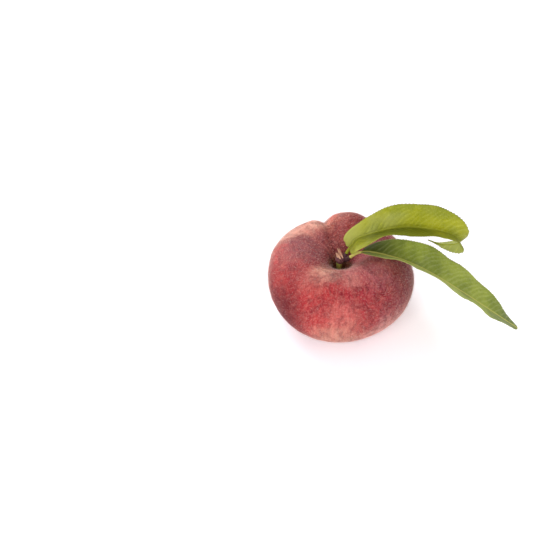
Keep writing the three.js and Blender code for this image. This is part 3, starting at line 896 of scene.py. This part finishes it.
bark_growth = bark_tree()
twig_finish = wood_finish("twig_bark", tint=shade(128, 76, 82), dark=shade(48, 26, 30),
                          pale=shade(192, 152, 146), roughness=0.7)
twig = grown(
    "twig_wood", welded("twig arms", TWIG_ARMS, 0.11), bark_growth, Ridge_height=0.3,
    Ring_height=0.035, Ring_spacing=0.9, Lenticels_per_square_mm=0.35, Core=CORE, Seed=4,
    Bark=twig_finish)
stalk_finish = wood_finish("stalk_green", tint=shade(194, 198, 92), dark=shade(126, 136, 48),
                           pale=shade(222, 216, 140), roughness=0.6)
stalk = grown(
    "fruit_stalk_wood", welded("stalk arms", STALK_ARMS, 0.1), bark_growth, Ridge_height=0.16,
    Ring_height=0.02, Ring_spacing=1.3, Lenticels_per_square_mm=0.0, Core=CORE, Seed=5,
    Bark=stalk_finish)
for piece, node, slot in ((twig, "twig", "bark"), (stalk, "fruit_stalk", "green_stalk")):
    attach(piece, "root")
    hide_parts(node)

# ---------------------------------------------------------------------------------------------
# The bud scales: dry papery strips at the broken end of the twig. Each is a thin cupped blade,
# widest near its foot and drawn out to a ragged point, and they overlap round the bud.
# ---------------------------------------------------------------------------------------------
# Each scale's foot on the twig, its tip, and half its width, mm.
BUD_SCALES = [
    ((0.5, -0.5, 30.9), (-2.3, -0.3, 37), 0.42),
    ((-0.6, -1.3, 30.9), (-2.7, -1.1, 35.1), 0.48),
    ((-1.7, -0.3, 30.9), (-2.9, 0.1, 33.9), 0.45),
    ((0.2, 0.5, 30.9), (-1.6, 0.6, 36.4), 0.4),
    ((-0.6, 1.1, 30.9), (-2.2, 1.4, 35.2), 0.45),
]
SCALE_SWELL = (0.35, 0.9)
SCALE_FOLD = (30, 34, 20)
SCALE_BULGE = 0.5  # how far its middle stands above the straight line, mm


def dry_finish():
    """Dry papery scale: fibres along it, and a dark edge."""
    finish, tree, shader = new_finish("dry_scale", Roughness=0.75, Specular_IOR_Level=0.3)
    across, along = carried_value(tree, "across"), carried_value(tree, "along")
    y = parts_of(tree, millimetres(tree))[1]
    fibres = noise_of(tree, joined(tree, across * 5.0, along * 2.0, y), 1.0, 3.0)
    colour = blended(tree, fibres.rise(0.35, 0.65), shade(190, 132, 104), shade(250, 214, 180))
    edge = across.by("ABSOLUTE").rise(0.6, 1.0)
    colour = blended(tree, edge * 0.6, colour, shade(84, 40, 36))
    tree.links.new(colour, shader.inputs["Base Color"])
    bumped(tree, shader, fibres.socket, 0.0001, 0.7)
    return finish


scale_finish = dry_finish()
for number, (foot, tip, width) in enumerate(BUD_SCALES, start=1):
    bulge = (np.array(foot) + np.array(tip)) / 2 + (0, 0, SCALE_BULGE)
    thread, scale_length = blade_thread(
        f"scale {number}", [foot, bulge, tip], width, petiole=0.0, swell_far=SCALE_SWELL,
        swell_near=SCALE_SWELL, fold_far=SCALE_FOLD, fold_near=SCALE_FOLD, rib=(0.22, 0.06),
        first_up=(0, -1, 0))
    piece = grown(
        f"bud_scale_strip_{number}", thread, blade_growth, Stations=60.0, Around=32.0, Thickness=0.2,
        Length=scale_length, Vein_spacing=0.5, Vein_lean=-3.0, Vein_curve=0.0, Vein_relief=0.05,
        Vein_strays=0.0, Tooth_spacing=0.7, Tooth_depth=0.12, Wave_height=0.05, Wave_length=3.0,
        Core=CORE, Finish=scale_finish)
    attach(piece, "root")
    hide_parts(f"bud_scale_{number}")

# ---------------------------------------------------------------------------------------------
# The stage: a plain pale floor, soft light from all round, two soft lamps on the left, one in
# front and one behind, and a camera that looks down on the fruit.
# ---------------------------------------------------------------------------------------------
FLOOR_HALF = 12.0  # metres
floor_mesh = bpy.data.meshes.new("floor")
corners = [(x * FLOOR_HALF, y * FLOOR_HALF, 0) for x, y in ((-1, -1), (1, -1), (1, 1), (-1, 1))]
floor_mesh.from_pydata(corners, [], [(0, 1, 2, 3)])
floor = bpy.data.objects.new("floor", floor_mesh)
floor_mesh.materials.append(new_finish(
    "lit_table", Base_Color=(0.9, 0.88, 0.92, 1), Roughness=0.9, Specular_IOR_Level=0.1,
    Emission_Color=(0.98, 0.96, 1.0, 1), Emission_Strength=0.31)[0])
scene.collection.objects.link(floor)

world = bpy.data.worlds.new("soft room")
world.use_nodes = True
world.node_tree.nodes["Background"].inputs["Color"].default_value = (1.0, 0.985, 1.0, 1)
world.node_tree.nodes["Background"].inputs["Strength"].default_value = 0.72
scene.world = world


LAMP_AIM = (0, 0, 0.02)
LAMP_TINT = (1.0, 0.985, 0.97)


def lamp(name, place, size, watts):
    """A round soft lamp, its place and size in metres, turned to the fruit."""
    data = bpy.data.lights.new(name, "AREA")
    data.shape = "DISK"
    data.size = size
    data.energy = watts
    data.color = LAMP_TINT
    source = bpy.data.objects.new(name, data)
    source.location = place
    source.rotation_euler = (Vector(LAMP_AIM) - Vector(place)).to_track_quat("-Z", "Y").to_euler()
    scene.collection.objects.link(source)


lamp("front softbox", place=(-0.4, -0.75, 0.42), size=0.5, watts=4.6)
lamp("back softbox", place=(-0.45, 0.65, 0.5), size=0.6, watts=5.0)

CAMERA_ABOVE = 43.0  # degrees that it looks down
CAMERA_OFF = (-34.2, -421.0, 418.0)  # mm from the fruit's core line on the floor
camera_data = bpy.data.cameras.new("camera")
camera_data.lens = 85
camera_data.sensor_width = 36
camera = bpy.data.objects.new("camera", camera_data)
camera.location = CORE + Vector(CAMERA_OFF) * MM
camera.rotation_euler = (math.radians(90 - CAMERA_ABOVE), 0, 0)
scene.collection.objects.link(camera)
scene.camera = camera
scene.view_settings.view_transform = "Standard"
